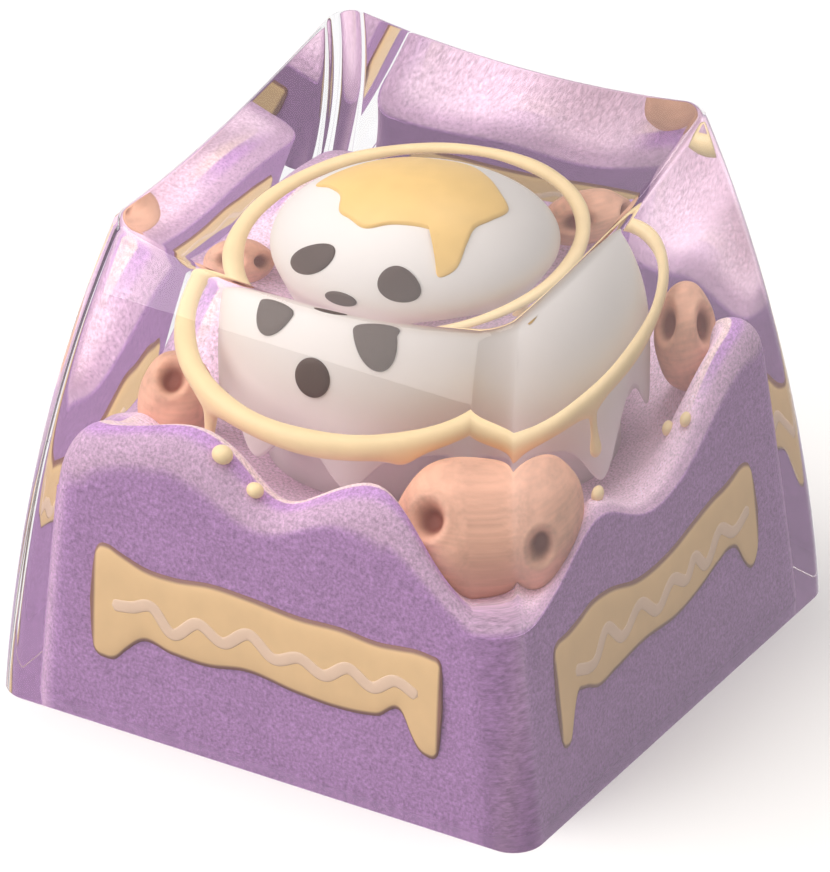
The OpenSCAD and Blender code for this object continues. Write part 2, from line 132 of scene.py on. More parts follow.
def joined(*shells):
    """Several shells as one list of vertices and faces."""
    verts, faces, base = [], [], 0
    for v, f in shells:
        verts.append(v)
        faces += [[i + base for i in face] for face in f]
        base += len(v)
    return np.vstack(verts), faces


def unit(vectors):
    """Vectors divided by their lengths."""
    return vectors / np.linalg.norm(vectors, axis=-1, keepdims=True)


def bell(x, middle, width):
    """A bell curve that is 1 at its middle."""
    return np.exp(-(((x - middle) / width) ** 2))


def quarter_circle(share, least):
    """A quarter circle from least at 0 to 1 at 1 and beyond, which rounds the end of a band or a drip."""
    return np.sqrt(np.clip(1 - (1 - np.clip(share, 0, 1)) ** 2, least, 1))


def turns(n, whole=2 * math.pi):
    """n even steps round a whole turn, in radians or in the unit of the whole turn."""
    return np.linspace(0, whole, n + 1)[:-1]


def piece(name, verts, faces, material, node, values=None, normals=None):
    """A smooth-shaded mesh object at the origin that rides on the cap and replaces its node."""
    mesh = bpy.data.meshes.new(name)
    mesh.from_pydata((verts * MM).tolist(), [], faces)
    mesh.polygons.foreach_set("use_smooth", np.ones(len(mesh.polygons), dtype=bool))
    for key, array in (values or {}).items():
        mesh.attributes.new(key, "FLOAT", "POINT").data.foreach_set("value", np.asarray(array, float))
    mesh.materials.append(material)
    mesh.update()
    if normals is not None:
        mesh.normals_split_custom_set_from_vertices(normals.tolist())
    obj = bpy.data.objects.new(name, mesh)
    bpy.context.scene.collection.objects.link(obj)
    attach(obj, "root")
    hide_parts(node)
    return obj


# Materials


class Paint:
    """A material whose shader is a Principled BSDF, with short calls for the nodes before it."""

    def __init__(self, name, rough, **sockets):
        self.material = bpy.data.materials.new(name)
        self.material.use_nodes = True
        self.nodes = self.material.node_tree.nodes
        self.links = self.material.node_tree.links
        self.shader = self.nodes["Principled BSDF"]
        self.output = self.nodes["Material Output"]
        self.shader.inputs["Roughness"].default_value = rough
        for key, value in sockets.items():
            self.shader.inputs[key.replace("_", " ")].default_value = value
        self.place = self.nodes.new("ShaderNodeTexCoord").outputs["Object"]

    def noise(self, size, detail=2.0, rough=0.5, stretch=(1, 1, 1)):
        """Noise from 0 to 1 whose features are about size millimetres across."""
        mapping = self.nodes.new("ShaderNodeMapping")
        mapping.inputs["Scale"].default_value = stretch
        self.links.new(self.place, mapping.inputs["Vector"])
        node = self.nodes.new("ShaderNodeTexNoise")
        node.inputs["Scale"].default_value = 1 / (size * MM)
        node.inputs["Detail"].default_value = detail
        node.inputs["Roughness"].default_value = rough
        self.links.new(mapping.outputs["Vector"], node.inputs["Vector"])
        return node.outputs["Fac"]

    def value(self, key):
        """A value kept on the mesh's points."""
        node = self.nodes.new("ShaderNodeAttribute")
        node.attribute_name = key
        return node.outputs["Fac"]

    def spread(self, value, low, high, to_low=0.0, to_high=1.0, smooth=False):
        """value taken from low..high to to_low..to_high, and held outside it."""
        node = self.nodes.new("ShaderNodeMapRange")
        node.interpolation_type = "SMOOTHSTEP" if smooth else "LINEAR"
        for key, number in (("From Min", low), ("From Max", high), ("To Min", to_low), ("To Max", to_high)):
            node.inputs[key].default_value = number
        self.links.new(value, node.inputs["Value"])
        return node.outputs["Result"]

    def mix(self, share, first, second, blend="MIX"):
        """Two colours mixed by share. Each is a colour or an output."""
        node = self.nodes.new("ShaderNodeMix")
        node.data_type = "RGBA"
        node.blend_type = blend
        for key, colour in ((6, first), (7, second)):
            if isinstance(colour, bpy.types.NodeSocket):
                self.links.new(colour, node.inputs[key])
            else:
                node.inputs[key].default_value = (*colour, 1.0)
        if isinstance(share, (int, float)):
            node.inputs[0].default_value = share
        else:
            self.links.new(share, node.inputs[0])
        return node.outputs[2]

    def grey(self, value):
        """A grey as light as value."""
        node = self.nodes.new("ShaderNodeCombineColor")
        for i in range(3):
            self.links.new(value, node.inputs[i])
        return node.outputs[0]

    def colour(self, output):
        """Take the shader's base colour from an output."""
        self.links.new(output, self.shader.inputs["Base Color"])

    def bump(self, height, depth):
        """Raise the surface by depth millimetres where height is 1."""
        node = self.nodes.new("ShaderNodeBump")
        node.inputs["Distance"].default_value = depth * MM
        self.links.new(height, node.inputs["Height"])
        self.links.new(node.outputs["Normal"], self.shader.inputs["Normal"])

    def other_for(self, other, *rays):
        """Show another shader to two kinds of ray, named as the Light Path node names them."""
        path = self.nodes.new("ShaderNodeLightPath")
        either = self.nodes.new("ShaderNodeMath")
        either.operation = "MAXIMUM"
        for i, ray in enumerate(rays):
            self.links.new(path.outputs[ray], either.inputs[i])
        mix = self.nodes.new("ShaderNodeMixShader")
        self.links.new(either.outputs[0], mix.inputs[0])
        self.links.new(self.shader.outputs[0], mix.inputs[1])
        self.links.new(other.outputs[0], mix.inputs[2])
        self.links.new(mix.outputs[0], self.output.inputs["Surface"])


def shade(colour, factor):
    """A colour made lighter or darker, held to 0..1."""
    return tuple(min(max(c * factor, 0.0), 1.0) for c in colour)


def resin_material(form):
    """Water-clear cast resin. Lamps pass through it, so the pieces inside are lit without noise."""
    p = Paint("clear_resin", 0.0, Transmission_Weight=1.0, IOR=form.resin_ior)
    p.shader.inputs["Base Color"].default_value = (0.985, 0.975, 0.985, 1.0)
    clear = p.nodes.new("ShaderNodeBsdfTransparent")
    clear.inputs["Color"].default_value = (0.97, 0.96, 0.97, 1.0)
    p.other_for(clear, "Is Shadow Ray", "Is Diffuse Ray")
    return p.material


def purple_material(colours):
    """Grained purple that turns lavender over the shoulder, with a darker band of painted shade under the
    crest and a pale line of painted highlight along the crest.

    The painted shade and highlight fade where the crest hardly rises, and a painted highlight pales the wall
    towards its corners.
    """
    p = Paint("purple_print", 0.62, Specular_IOR_Level=0.25)
    inset = p.value("inset")
    raised = p.spread(p.value("rise"), 0.35, 0.9, smooth=True)
    # Painted highlight: the wall pales towards its upright corners, where they catch the key light
    painted_corner_glow = p.spread(p.value("corner"), 0.9, 0.99, 0.0, 0.9, smooth=True)
    wall = p.mix(painted_corner_glow, colours.wall, shade(colours.shoulder, 1.25))
    colour = p.mix(p.spread(inset, 0.005, 0.12, smooth=True), wall, colours.shoulder)
    low = p.mix(p.spread(inset, 0.3, 1.0, smooth=True), colour, colours.slope)
    # Painted shade: a darker band just inside the shoulder, where the crest's step would throw shade
    high = p.mix(p.spread(inset, 0.45, 0.8, smooth=True), colour, shade(colours.wall, 1.3))
    # Painted highlight: a pale line along the crest's rounded top
    high = p.mix(p.spread(inset, 1.0, 1.1, smooth=True), high, colours.crest)
    high = p.mix(p.spread(inset, 1.2, 1.6, smooth=True), high, colours.slope)
    colour = p.mix(raised, low, high)
    fine = p.noise(0.1, 3.0, 0.7)
    layers = p.noise(0.3, 2.0, 0.5, (0.3, 0.3, 3.0))
    grains = (
        p.spread(fine, 0.3, 0.7, 0.66, 1.36),
        p.spread(layers, 0.3, 0.7, 0.95, 1.05),
        p.spread(p.noise(1.4, 2.0), 0.3, 0.7, 0.97, 1.04),
    )
    for grain in grains:
        colour = p.mix(1.0, colour, p.grey(grain), "MULTIPLY")
    p.colour(colour)
    p.bump(fine, 0.008)
    return p.material


def icing_material(name, colour, outline=None, rough=0.4):
    """Smooth icing with a faint mottle, and a thin brown line of painted contact shadow where the edge value
    is low.
    """
    p = Paint(name, rough, Specular_IOR_Level=0.4)
    out = p.mix(p.noise(0.8, 2.0), shade(colour, 0.93), shade(colour, 1.07))
    if outline is not None:
        # Painted contact shadow along the ribbon's edge
        out = p.mix(p.spread(p.value("edge"), 0.1, 0.22, smooth=True), outline, out)
    p.colour(out)
    p.bump(p.noise(0.5, 3.0), 0.006)
    return p.material


def ghost_material(colours):
    """Soft white with a faint warm mottle."""
    p = Paint("ghost_white", 0.45, Specular_IOR_Level=0.4)
    p.colour(p.mix(p.noise(2.0, 2.0), shade(colours.ghost, 0.975), shade(colours.ghost, 1.02)))
    p.bump(p.noise(0.3, 3.0), 0.004)
    return p.material


def lump_material(colours):
    """Biscuit skin with fine speckle and layer lines, redder and darker down in the pits."""
    p = Paint("lump_biscuit", 0.6, Specular_IOR_Level=0.3)
    speckle = p.spread(p.noise(0.18, 3.0, 0.7), 0.3, 0.7)
    skin = p.mix(speckle, shade(colours.lump, 0.88), shade(colours.lump, 1.1))
    skin = p.mix(p.spread(p.noise(0.9, 2.0), 0.35, 0.65), skin, shade(colours.lump, 1.2))
    layers = p.spread(p.noise(0.4, 2.0, 0.5, (0.3, 0.3, 3.0)), 0.3, 0.7, 0.93, 1.07)
    skin = p.mix(1.0, skin, p.grey(layers), "MULTIPLY")
    skin = p.mix(p.spread(p.value("pit"), 0.12, 0.9, smooth=True), skin, colours.pit)
    p.colour(skin)
    p.bump(p.noise(0.22, 3.0, 0.6), 0.02)
    return p.material


# Outer form

LEAN_H = 15.0
LEANS = {"side": (2.371, 1.216), "front": (2.656, 3.124), "back": (2.273, 2.136)}
DISH_MID_Y, DISH_RISE, DISH_ACROSS, DISH_ALONG = 0.19, 0.155, 26.3, 33.3
CORNER_LEAN = 0.005
# Height from which the search for the rim starts
RIM_START_Z = 15.5
# Radius of the bottom edge
FOOT_R = 0.06
# The resin's hidden inner skin: how far it lies inside the core's wall, and the heights of its rows
SEALED_D, SEALED_ZS = 0.3, (5.9, 3.0, 0.6, 0.0)


def leaned(half, z, side):
    """Distance of one side from the middle at height z: half less a power of the height."""
    lean, power = LEANS[side]
    return half - lean * (np.maximum(z, 0) / LEAN_H) ** power


def dish(form, x, y):
    """Height of the top: a plane that rises to the back, hollowed along both ways by parabolas."""
    v = y - DISH_MID_Y
    return form.top_z / MM + DISH_RISE * v + x**2 / (2 * DISH_ACROSS) + v**2 / (2 * DISH_ALONG)


def loop_places(arcs, sides):
    """Places round a rounded rectangle: corner number, angle round its corner, share of the side after it.

    The places crowd near the ends of each side so that shading turns only in the corners.
    """
    arc = np.linspace(0, math.pi / 2, arcs + 1)
    share = (1 - np.cos(np.linspace(0, math.pi, sides + 1)[1:-1])) / 2
    corner = np.repeat(np.arange(4), len(arc) + len(share))
    angle = np.tile(np.concatenate([arc, np.full(len(share), math.pi / 2)]), 4)
    along = np.tile(np.concatenate([np.zeros(len(arc)), share]), 4)
    return corner, angle, along


SIGN_X = np.array([1, -1, -1, 1])
SIGN_Y = np.array([1, 1, -1, -1])


def rounded_ring(mid_x, mid_front, mid_back, r, z, places):
    """Points round a rectangle with rounded corners, from how far out the middles of its corners lie."""
    corner, angle, along = places

    def on_corner(c, a):
        turn = a + math.pi / 2 * c
        mid_y = np.where(SIGN_Y[c] > 0, mid_back, mid_front)
        return SIGN_X[c] * mid_x + r * np.cos(turn), SIGN_Y[c] * mid_y + r * np.sin(turn)

    x1, y1 = on_corner(corner, angle)
    x2, y2 = on_corner((corner + 1) % 4, np.zeros_like(angle))
    x, y = (1 - along) * x1 + along * x2, (1 - along) * y1 + along * y2
    return np.stack([x, y, z + np.zeros_like(x)], axis=-1)


def cap_points(form, z, inset, places):
    """Points of the outer form at heights z, inset from its sides. Both are one number or one a place."""
    half = form.base_w / MM / 2
    r = form.corner_r / MM - CORNER_LEAN * z - inset
    side, front, back = (leaned(half, z, way) - inset - r for way in ("side", "front", "back"))
    return rounded_ring(side, front, back, r, z, places)


def side_normals(form, z, places):
    """Normals of the sides: each place's own direction, tipped by how fast the side leans in there."""
    step = 0.01
    lean = (cap_points(form, z + step, 0.0, places) - cap_points(form, z - step, 0.0, places)) / (2 * step)
    corner, angle, _ = places
    turn = angle + math.pi / 2 * corner
    out = np.stack([np.cos(turn), np.sin(turn)], axis=-1)
    return unit(np.column_stack([out, -(out * lean[:, :2]).sum(axis=1)]))


def dish_normals(points):
    """Normals of the top, from the slopes of its formula."""
    x, v = points[..., 0], points[..., 1] - DISH_MID_Y
    return unit(np.stack([-x / DISH_ACROSS, -(DISH_RISE + v / DISH_ALONG), np.ones_like(x)], axis=-1))


def rim_heights(form, places):
    """Height of the dish over each place of the rim, found by going round the two formulas a few times."""
    z = np.full(places[0].shape, RIM_START_Z)
    for _ in range(8):
        p = cap_points(form, z, 0.0, places)
        z = dish(form, p[:, 0], p[:, 1])
    return z


def crowded(n, ends=0.0):
    """n + 1 places from 0 to 1 that crowd near both ends."""
    t = np.linspace(0, 1, n + 1)
    return (1 - ends) * t + ends * (1 - np.cos(math.pi * t)) / 2


class KEYCAP_OT_resin(bpy.types.Operator):
    """Cast the clear body: leaning sides, a rounded rim and a hollowed top, closed inside the base core"""

    bl_idname = "keycap.resin"
    bl_label = "Clear body"

    def execute(self, context):
        form = context.scene.cap_form
        places = loop_places(14, 30)
        rim = rim_heights(form, places)
        rim_r = form.rim_r / MM
        down = np.array([0.0, 0.0, -1.0])
        rows, normals = [], []

        def add(points, facing):
            rows.append(points)
            normals.append(np.broadcast_to(facing, points.shape))

        foot_side = side_normals(form, 0.0, places)
        for z in SEALED_ZS:
            add(core_ring(core_half(form, z) - SEALED_D, CORE_CORNER_R, z, places), -foot_side)
        outer = cap_points(form, 0.0, 0.0, places)
        inner = rows[-1]
        for share in (0.01, 0.5, 0.85):
            add((1 - share) * inner + share * outer, down)
        for a in np.radians([0, 30, 60, 90]):
            p = cap_points(form, 0.0, FOOT_R * (1 - math.sin(a)), places)
            p[:, 2] = FOOT_R * (1 - math.cos(a))
            add(p, unit(math.sin(a) * foot_side + math.cos(a) * down))
        for share in crowded(60, 0.6)[1:]:
            z = FOOT_R + share * (rim - rim_r - FOOT_R)
            add(cap_points(form, z, 0.0, places), side_normals(form, z, places))
        rim_side = side_normals(form, rim - rim_r, places)
        for a in np.radians(np.linspace(0, 90, 9))[1:]:
            p = cap_points(form, rim, rim_r * (1 - math.cos(a)), places)
            top = dish_normals(p)
            p[:, 2] = dish(form, p[:, 0], p[:, 1]) - rim_r * (1 - math.sin(a))
            add(p, unit(math.cos(a) * rim_side + math.sin(a) * top))
        edge = cap_points(form, rim, rim_r, places)
        middle = np.array([0.0, edge[:, 1].mean(), 0.0])
        for share in np.concatenate([[0.985], np.linspace(0.95, 0.05, 26)]):
            p = middle + share * (edge - middle)
            p[:, 2] = dish(form, p[:, 0], p[:, 1])
            add(p, dish_normals(p))
        verts, faces = shell(np.array(rows))
        verts[-1, 2] = dish(form, verts[-1, 0], verts[-1, 1])
        facing = np.vstack([np.concatenate(normals), down, dish_normals(verts[-1])])
        piece("resin_body", verts, faces, resin_material(form), "clear_body", normals=facing)
        return {"FINISHED"}


# Base core

CORE_LEAN = 0.07
CORE_CORNER_R, CORNER_LOSS = 1.0, 0.15
FLOOR_Z, EDGE_Z, CREST_RISE = 6.5, 6.4, 0.1
# Height from which the search for the wavy edge starts
EDGE_START_Z = 7.3
SHOULDER_W, SLOPE_W = 1.1, 2.6
SQUARE_POWER = 16
# How much nearer to a corner on the right the painted corner highlight begins, so it is weaker away from the
# key light
LESS_CORNER_GLOW = 0.03
HOLLOW_W, HOLLOW_H, HOLLOW_CORNER_R = 14.0, 5.2, 1.0
# Distance from a sharp edge to the row beside it, which keeps the shading flat
NEAR = 0.1
# Waves of the edge: angle round the core, height, width in degrees, how far the crest stands above the edge
WAVES = np.array([
    [43, 2.0, 16, 0.5],
    [52, 0, 11, 0.7],
    [104, 0.7, 14, 0.4],
    [151, 0.9, 12, 0.7],
    [204, 0.7, 10, 0.3],
    [222, -0.3, 8, 1.5],
    [239.5, 1.3, 11, 1.1],
    [256, 0, 10, 1.6],
    [285.5, 1.5, 12, 0.6],
    [300, 0, 8, 1.7],
    [314, -0.4, 9, 0],
    [339, 1.35, 10, 0],
])


def core_half(form, z):
    """Half width of the core: flat walls that lean in evenly."""
    return form.core_w / MM / 2 - CORE_LEAN * z


def core_ring(half, r, z, places):
    """Points round a square with rounded corners. half and z are one number or one a place."""
    return rounded_ring(half - r, half - r, half - r, r, z, places)


def core_points(form, z, inset, places):
    """Points of the core's wall at heights z, or inset from it, with a corner that tightens a little."""
    return core_ring(core_half(form, z) - inset, CORE_CORNER_R - CORNER_LOSS * inset, z, places)


def turn_from(a, b):
    """Degrees between two bearings, the short way round."""
    return np.abs((a - b + 540) % 360 - 180)


def edge_and_rise(x, y):
    """Height of the edge and the crest's rise over it: sums of bell curves of the angle round the core."""
    angle = np.degrees(np.arctan2(y, x))
    bells = np.exp(-((turn_from(angle[..., None], WAVES[:, 0]) / WAVES[:, 2]) ** 2) / 2)
    return EDGE_Z + bells @ WAVES[:, 1], CREST_RISE + bells @ WAVES[:, 3]


def ground(form, x, y):
    """Height of the core's top: a quarter-round shoulder to the crest, then a cosine slope to the floor."""
    edge, rise = edge_and_rise(x, y)
    reach = core_half(form, edge)
    power = SQUARE_POWER
    far = ((np.abs(x) / reach) ** power + (np.abs(y) / reach) ** power) ** (1 / power)
    d = np.maximum(0, reach * (1 - far))
    s = np.clip((d - SHOULDER_W) / SLOPE_W, 0, 1)
    up = edge + rise * np.sqrt(np.maximum(0, 1 - (1 - np.minimum(d / SHOULDER_W, 1)) ** 2))
    down = FLOOR_Z + (edge + rise - FLOOR_Z) * (1 + np.cos(math.pi * s)) / 2
    return np.where(d < SHOULDER_W, up, down)


def ground_at(form, x, y):
    """The ground under one place."""
    return float(ground(form, np.array([x], float), np.array([y], float))[0])


def edge_heights(form, places):
    """Height of the wavy edge at each place, found by going round the wall's and the edge's formulas."""
    z = np.full(places[0].shape, EDGE_START_Z)
    for _ in range(6):
        p = core_points(form, z, 0.0, places)
        z = ground(form, p[:, 0], p[:, 1])
    return z


def post_shell():
    """The stem post: a profile carried round, from its root down the outside, in to the cross and up it.

    The cross is a star shape about the axis: at each angle its wall is the farther of the two arms' walls.
    """
    post_r, post_z, root_z, top_z, bevel = 2.75, 0.6, 5.5, 4.5, 0.1
    half_l, half_across, half_along = 2.05, 0.65, 0.585
    corners = [
        math.atan2(half_across, half_l),
        math.atan2(half_across, half_along),
        math.atan2(half_l, half_along),
    ]
    beside = [[c - 1e-4, c + 1e-4] for c in corners]
    a = np.unique(np.concatenate([np.linspace(0, math.pi / 2, 25)] + beside))[:-1]
    a = np.concatenate([a + k * math.pi / 2 for k in range(4)])
    c, s = np.abs(np.cos(a)) + 1e-9, np.abs(np.sin(a)) + 1e-9
    across = np.minimum(half_l / c, half_across / s)
    along = np.minimum(half_along / c, half_l / s)
    cross = np.maximum(across, along)
    radii = [(post_r, root_z), (post_r, post_z + bevel), (post_r - bevel, post_z)]
    rows = [np.stack([r * np.cos(a), r * np.sin(a), np.full(a.shape, z)], axis=-1) for r, z in radii]
    for z in (post_z, top_z):
        rows.append(np.stack([cross * np.cos(a), cross * np.sin(a), np.full(a.shape, z)], axis=-1))
    return shell(np.array(rows))


class KEYCAP_OT_base(bpy.types.Operator):
    """Make the purple base core with its wavy top, the hollow underneath and the stem post"""

    bl_idname = "keycap.base"
    bl_label = "Purple base"

    def execute(self, context):
        form = context.scene.cap_form
        places = loop_places(12, 60)
        edge = edge_heights(form, places)
        rows, insets = [], []
        for z in (HOLLOW_H, HOLLOW_H - NEAR, NEAR, 0.0):
            rows.append(core_ring(HOLLOW_W / 2, HOLLOW_CORNER_R, z, places))
            insets.append(0.0)
        for s in np.concatenate([[0, 0.01], np.linspace(0.1, 0.9, 9), [0.985, 1.0]]):
            rows.append(core_points(form, s * edge, 0.0, places))
            insets.append(0.0)
        near_edge = [0.01, 0.03, 0.07, 0.12, 0.2, 0.3]
        steps = np.concatenate([near_edge, np.linspace(0.4, 1.6, 13), np.linspace(1.8, 4.2, 13)])
        for inset in steps:
            p = core_points(form, edge, inset, places)
            p[:, 2] = ground(form, p[:, 0], p[:, 1])
            rows.append(p)
            insets.append(inset)
        rows = np.array(rows)
        verts, faces = shell(rows)
        inset = np.concatenate([np.repeat(insets, rows.shape[1]), [0.0, steps[-1] + 1]])
        rise = edge_and_rise(verts[:, 0], verts[:, 1])[1]
        half = core_half(form, verts[:, 2])
        # Nearness to a corner, which sets the painted corner highlight; it is lowered on the right, away from
        # the key light
        near_corner = np.minimum(np.abs(verts[:, 0]), np.abs(verts[:, 1])) / half
        near_corner = near_corner - LESS_CORNER_GLOW * np.maximum(verts[:, 0] / half, 0)
        post_verts, post_faces = post_shell()
        none = np.zeros(len(post_verts))
        verts, faces = joined((verts, faces), (post_verts, post_faces))
        values = {"inset": inset, "rise": rise, "corner": near_corner}
        values = {key: np.concatenate([value, none]) for key, value in values.items()}
        material = purple_material(context.scene.cap_colours)
        obj = piece("base_core", verts, faces, material, "purple_base", values)
        obj.data.set_sharp_from_angle(angle=math.radians(50))
        return {"FINISHED"}


# Ribbons and squiggles

SIDES = ("front", "right", "back", "left")
# The ribbons' thickness, how deep they lie in the wall, and over what length their ends close
RIBBON_T, RIBBON_IN, RIBBON_CLOSE = 0.13, 0.04, 0.14
# The squiggles' width, what they stand out of and reach into the ribbon, and the length of their ends
SQUIGGLE_W, SQUIGGLE_OUT, SQUIGGLE_IN, SQUIGGLE_CLOSE = 0.38, 0.02, 0.03, 0.15
# Each ribbon's edges at places along its side, left to right from outside: place, low edge, high edge
RIBBONS = {
    "front": [
        (-6.02, 2.3, 5.15), (-5.85, 2.0, 5.5), (-5.5, 1.86, 5.64), (-5.15, 1.93, 5.52), (-4.8, 2.3, 5.4),
        (-4.3, 2.75, 5.25), (-3.2, 2.65, 5.2), (-2.0, 2.62, 5.36), (-0.7, 2.85, 5.33), (1.05, 2.66, 5.2),
        (2.4, 2.6, 5.26), (3.7, 2.75, 5.17), (4.6, 3.02, 5.27), (4.85, 2.5, 5.3), (5.1, 2.1, 5.3),
        (5.4, 1.93, 5.27), (5.68, 1.97, 5.2), (5.88, 2.25, 4.95),
    ],
    "right": [
        (-6.1, 2.35, 4.6), (-5.95, 1.92, 5.05), (-5.72, 1.74, 5.25), (-5.46, 1.86, 5.27), (-5.22, 2.5, 5.27),
        (-4.95, 3.05, 5.3), (-4.5, 3.05, 5.38), (-3.8, 2.75, 5.55), (-2.8, 2.8, 5.5), (-1.2, 2.92, 5.05),
        (0.9, 2.8, 5.05), (2.2, 3.0, 5.3), (3.35, 3.3, 5.5), (4.05, 3.4, 5.55), (4.45, 3.2, 5.62),
        (4.75, 2.65, 5.7), (5.02, 2.3, 5.76), (5.32, 2.25, 5.72), (5.58, 2.6, 5.5), (5.75, 3.1, 5.0),
    ],
}
# The hidden ribbons are those of the facing walls with other ripples
RIBBONS["back"] = [
    (t, low + 0.12 * math.sin(3 * t), high + 0.1 * math.sin(2 * t + 1)) for t, low, high in RIBBONS["front"]
]
RIBBONS["left"] = [
    (t, low + 0.1 * math.sin(2.4 * t + 2), high - 0.1 * math.sin(3 * t)) for t, low, high in RIBBONS["right"]
]
# Crests and troughs of each squiggle: place, height
SQUIGGLES = {
    "front": [
        (-5.26, 3.75), (-4.6, 3.85), (-3.9, 4.06), (-3.2, 3.4), (-2.35, 3.98), (-1.45, 3.62), (-0.62, 4.15),
        (0.26, 3.62), (1.1, 3.9), (1.98, 3.6), (2.7, 4.06), (3.6, 3.7), (4.27, 4.12), (5.08, 3.85),
    ],
    "right": [
        (-5.0, 3.93), (-3.85, 3.7), (-3.1, 4.38), (-2.4, 3.75), (-1.1, 4.2), (-0.35, 3.6), (0.7, 4.1),
        (1.5, 3.75), (2.0, 4.2), (2.5, 3.7), (3.6, 4.35), (4.2, 3.95), (5.25, 4.25),
    ],
}
SQUIGGLES["back"] = [(t, z + 0.05 * math.sin(5 * t)) for t, z in SQUIGGLES["front"]]
SQUIGGLES["left"] = [(t, z - 0.05 * math.sin(4 * t)) for t, z in SQUIGGLES["right"]]


def smooth_curve(x, places, values):
    """A smooth curve through the values at the places (a cubic with slopes from its neighbours)."""
    places, values = np.asarray(places, float), np.asarray(values, float)
    slopes = np.gradient(values, places)
    i = np.clip(np.searchsorted(places, x) - 1, 0, len(places) - 2)
    w = places[i + 1] - places[i]
    t = (x - places[i]) / w
    return (
        (2 * t**3 - 3 * t**2 + 1) * values[i]
        + (t**3 - 2 * t**2 + t) * w * slopes[i]
        + (3 * t**2 - 2 * t**3) * values[i + 1]
        + (t**3 - t**2) * w * slopes[i + 1]
    )


def on_side(form, side, t, z, out):
    """Points on one side's wall: t along it from the left, height z, out from the wall."""
    a = math.pi / 2 * side
    r = core_half(form, z) + out
    x, y = t * math.cos(a) + r * math.sin(a), t * math.sin(a) - r * math.cos(a)
    return np.stack([x, y, z + np.zeros_like(t)], axis=-1)


def band_shell(form, side, t, low, high, lift, thick, steps=14):
    """A pillow-shaped band on a wall between two edges.

    At each place a closed profile runs under the band from low to high and back over it,
    where its height is thick times a superellipse of the place across.
    """
    v = crowded(steps, 0.8)
    across = np.concatenate([v, v[::-1][1:-1]])
    over = np.concatenate([np.zeros(len(v)), (1 - np.abs(2 * v[::-1][1:-1] - 1) ** 5) ** 0.5])
    z = low[:, None] + (high - low)[:, None] * across[None, :]
    place = np.repeat(t[:, None], len(across), axis=1)
    out = lift + thick * over[None, :] * np.ones_like(z)
    points = on_side(form, side, place, z, out)
    edge = np.minimum(across, 1 - across)[None, :] * (high - low)[:, None]
    return points, edge


def ribbon_shell(form, side, name):
    """A ribbon: a band between its two edge curves, whose height closes to its middle by a quarter circle."""
    table = np.array(RIBBONS[name])
    s = crowded(110, 0.5)
    t = table[0, 0] + s * (table[-1, 0] - table[0, 0])
    low, high = smooth_curve(t, table[:, 0], table[:, 1]), smooth_curve(t, table[:, 0], table[:, 2])
    mid, half = (low + high) / 2, (high - low) / 2
    near = np.minimum(t - t[0], t[-1] - t)
    close = quarter_circle(near / RIBBON_CLOSE, 1e-4)
    low, high = mid - half * close, mid + half * close
    points, edge = band_shell(form, side, t, low, high, -RIBBON_IN, RIBBON_T + RIBBON_IN)
    edge = np.minimum(edge, near[:, None] + 0.01)
    return points, edge


def squiggle_shell(form, side, name):
    """The squiggle: a flat half-round profile carried along a smooth zigzag on the ribbon."""
    table = np.array(SQUIGGLES[name])
    t = np.linspace(table[0, 0], table[-1, 0], 150)
    z = smooth_curve(t, table[:, 0], table[:, 1])
    slope = np.gradient(z, t)
    nx, nz = -slope / np.hypot(1, slope), 1 / np.hypot(1, slope)
    near = np.minimum(t - t[0], t[-1] - t)
    half = SQUIGGLE_W / 2 * quarter_circle(near / SQUIGGLE_CLOSE, 1e-3)
    a = turns(12)
    side_way, out_way = np.cos(a), np.sin(a)
    place = t[:, None] + half[:, None] * nx[:, None] * side_way
    height = z[:, None] + half[:, None] * nz[:, None] * side_way
    thick = np.where(out_way > 0, SQUIGGLE_OUT, SQUIGGLE_IN)
    out = RIBBON_T + thick * out_way * (half / half.max())[:, None]
    return on_side(form, side, place, height, out)


class KEYCAP_OT_ribbons(bpy.types.Operator):
    """Lay the four icing ribbons on the walls, each with its cream squiggle"""

    bl_idname = "keycap.ribbons"
    bl_label = "Ribbons"

    def execute(self, context):
        form, colours = context.scene.cap_form, context.scene.cap_colours
        icing = icing_material("ribbon_icing", colours.icing, colours.outline)
        cream = icing_material("squiggle_cream", colours.cream)
        for side, name in enumerate(SIDES):
            points, edge = ribbon_shell(form, side, name)
            verts, faces = shell(points[:, ::-1])
            value = np.concatenate([edge[:, ::-1].ravel(), [0.0, 0.0]])
            piece("icing_" + name, verts, faces, icing, "ribbon_" + name, {"edge": value})
            verts, faces = shell(squiggle_shell(form, side, name)[:, ::-1])
            piece("line_" + name, verts, faces, cream, "squiggle_" + name)
        return {"FINISHED"}


# Figure

HEAD_MID = np.array([-0.2, 0.7, 10.1])
HEAD_R = np.array([4.8, 4.15, 4.2])
HEM_Z = 8.45
# Hem tips and one notch: bearing, length, width in degrees
HEM_TIPS = np.array([
    [-30, 1.1, 12],
    [13, 1.1, 11],
    [76, 1.45, 13],
    [108, -0.7, 14],
    [128, 0.8, 13],
    [184, 1.0, 14],
    [236, 0.8, 13],
    [288, 0.9, 12],
])
# Rows of the hidden foot and underside: share of the head's outline, height
FOOT_ROWS = ((0.6, FLOOR_Z - 0.2), (0.62, 7.2), (0.66, 8.0), (0.74, 8.6), (0.84, 8.75))
HEM_LIP, UNDER_Z = 0.12, 8.75


def head_points(bearing, rise, out=0.0):
    """Points on the head's ellipsoid, by bearing from the front and rise from its widest place in degrees."""
    b, e = np.radians(bearing), np.radians(rise)
    way = np.stack([np.cos(e) * np.sin(b), -np.cos(e) * np.cos(b), np.sin(e) + 0 * b], axis=-1)
    return HEAD_MID + (HEAD_R + np.asarray(out)[..., None]) * way


def hem_heights(bearing):
    """The hem's height: a level less a bell curve for each tip."""
    middle, length, width = HEM_TIPS.T
    return HEM_Z - bell(turn_from(bearing[:, None], middle), 0, width) @ length


